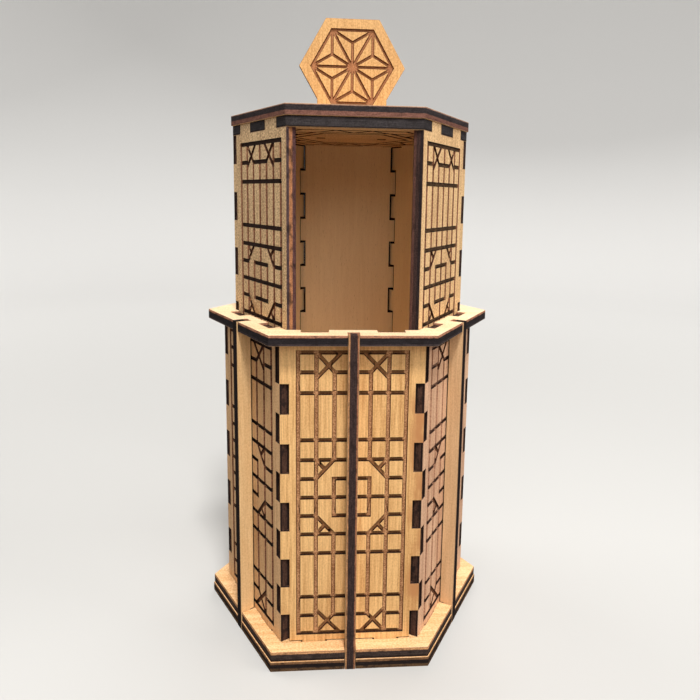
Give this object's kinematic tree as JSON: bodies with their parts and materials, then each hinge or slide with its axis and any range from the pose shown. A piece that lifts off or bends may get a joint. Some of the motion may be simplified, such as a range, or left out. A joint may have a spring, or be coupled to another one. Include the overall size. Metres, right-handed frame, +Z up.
{
  "type": "dice storage chest",
  "caption": "Hexagonal plywood dice chest: an open-fronted tower with a hexagonal handle slides up out of a finned, lattice-engraved case with a ledge and a doubled base.",
  "frame": {"origin": "middle of the underside, at rest with the tower raised", "axes": "+Z up along the tower's slide, the open side of the tower and the front fin face -Y"},
  "size_m": [0.0918, 0.0796, 0.1897],
  "materials": {
    "panel_ply": "bare pale plywood, upright grain, brown engraved lines, charred edges",
    "plate_ply": "bare pale plywood with charred dark edges",
    "fin_ply": "bare pale plywood with charred dark edges",
    "medallion_ply": "bare golden plywood with brown engraved lines"
  },
  "bodies": {
    "case": {"foot_plate": "plate_ply", "base_plate": "plate_ply", "case_front": "panel_ply", "case_front_right": "panel_ply", "case_back_right": "panel_ply", "case_back": "panel_ply", "case_back_left": "panel_ply", "case_front_left": "panel_ply", "fin_front": "fin_ply", "fin_front_right": "fin_ply", "fin_back_right": "fin_ply", "fin_back": "fin_ply", "fin_back_left": "fin_ply", "fin_front_left": "fin_ply", "ledge_ring": "plate_ply"},
    "tower": {"tower_front_right": "panel_ply", "tower_back_right": "panel_ply", "tower_back": "panel_ply", "tower_back_left": "panel_ply", "tower_front_left": "panel_ply", "tower_floor": "plate_ply", "ceiling_plate": "plate_ply", "roof_cap": "plate_ply", "medallion": "medallion_ply"}
  },
  "joints": [
    {"name": "tower_lift", "type": "slide", "parent": "case", "child": "tower", "axis": [0, 0, 1], "range_m": [-0.0577, 0.04]}
  ]
}
